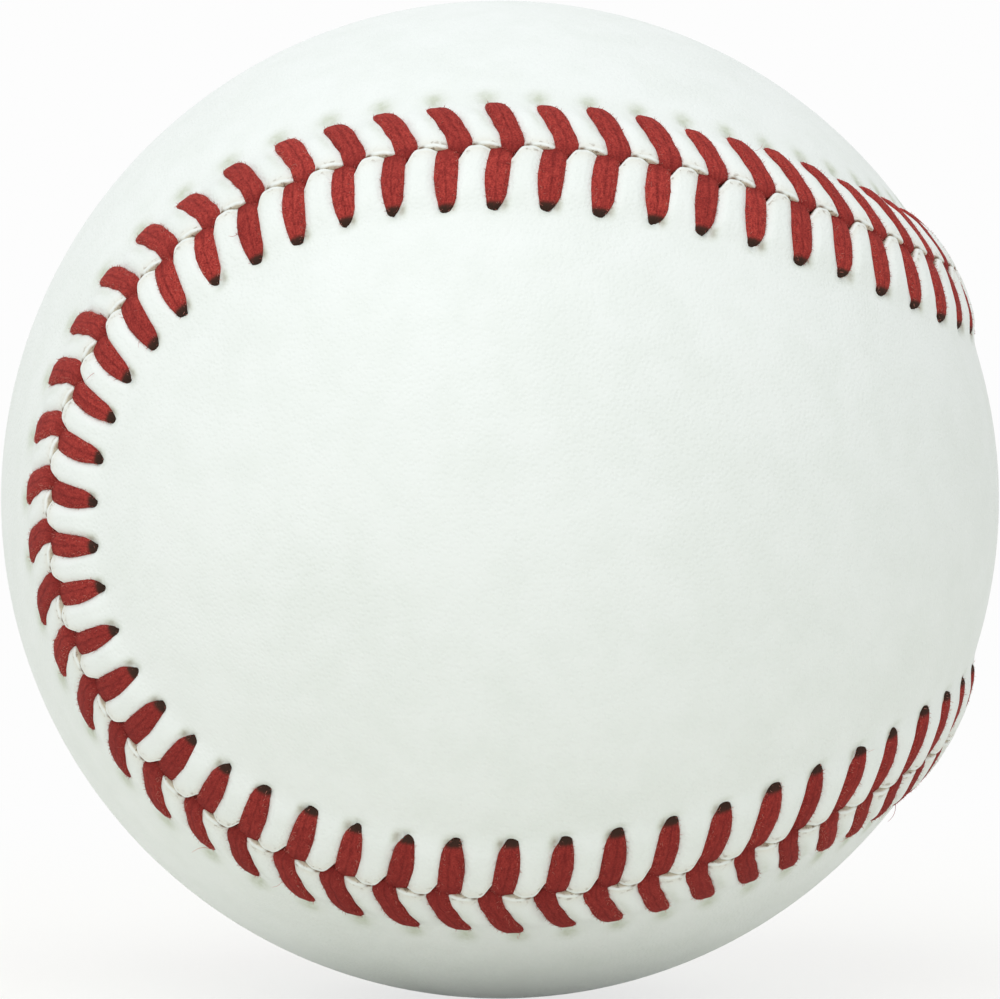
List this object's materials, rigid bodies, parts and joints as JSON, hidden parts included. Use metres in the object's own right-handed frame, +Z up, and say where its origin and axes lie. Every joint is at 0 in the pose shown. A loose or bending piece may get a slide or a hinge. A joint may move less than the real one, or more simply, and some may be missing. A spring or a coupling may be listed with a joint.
{
  "type": "baseball",
  "caption": "Sewn leather ball: cork and rubber centre, wool windings and a two-panel white cover with a raised red-stitched seam.",
  "frame": {"origin": "centre of the ball", "axes": "+Z up through the middle of one panel's lobe, +X through the other panel's neck, -Y towards that panel's lobe that the picture shows"},
  "size_m": [0.0746, 0.0744, 0.0744],
  "materials": {
    "cork": "composition cork, matte",
    "black_rubber": "moulded, matte",
    "red_rubber": "moulded, matte",
    "grey_wool": "wound yarn",
    "white_wool": "wound yarn",
    "finishing_yarn": "fine wound yarn",
    "adhesive": "dried rubber cement film",
    "white_leather": "fine pebble grain, satin",
    "red_thread": "waxed twisted thread"
  },
  "bodies": {
    "root": {"cork_core": "cork", "lower_black_rubber_shell": "black_rubber", "upper_black_rubber_shell": "black_rubber", "rubber_gasket": "red_rubber", "lower_red_rubber_shell": "red_rubber", "upper_red_rubber_shell": "red_rubber", "first_wool_winding": "grey_wool", "second_wool_winding": "white_wool", "third_wool_winding": "grey_wool", "finishing_winding": "finishing_yarn", "adhesive_coat": "adhesive", "cover_panel_a": "white_leather", "cover_panel_b": "white_leather", "stitches_on_panel_a": "red_thread", "stitches_on_panel_b": "red_thread"}
  },
  "joints": []
}
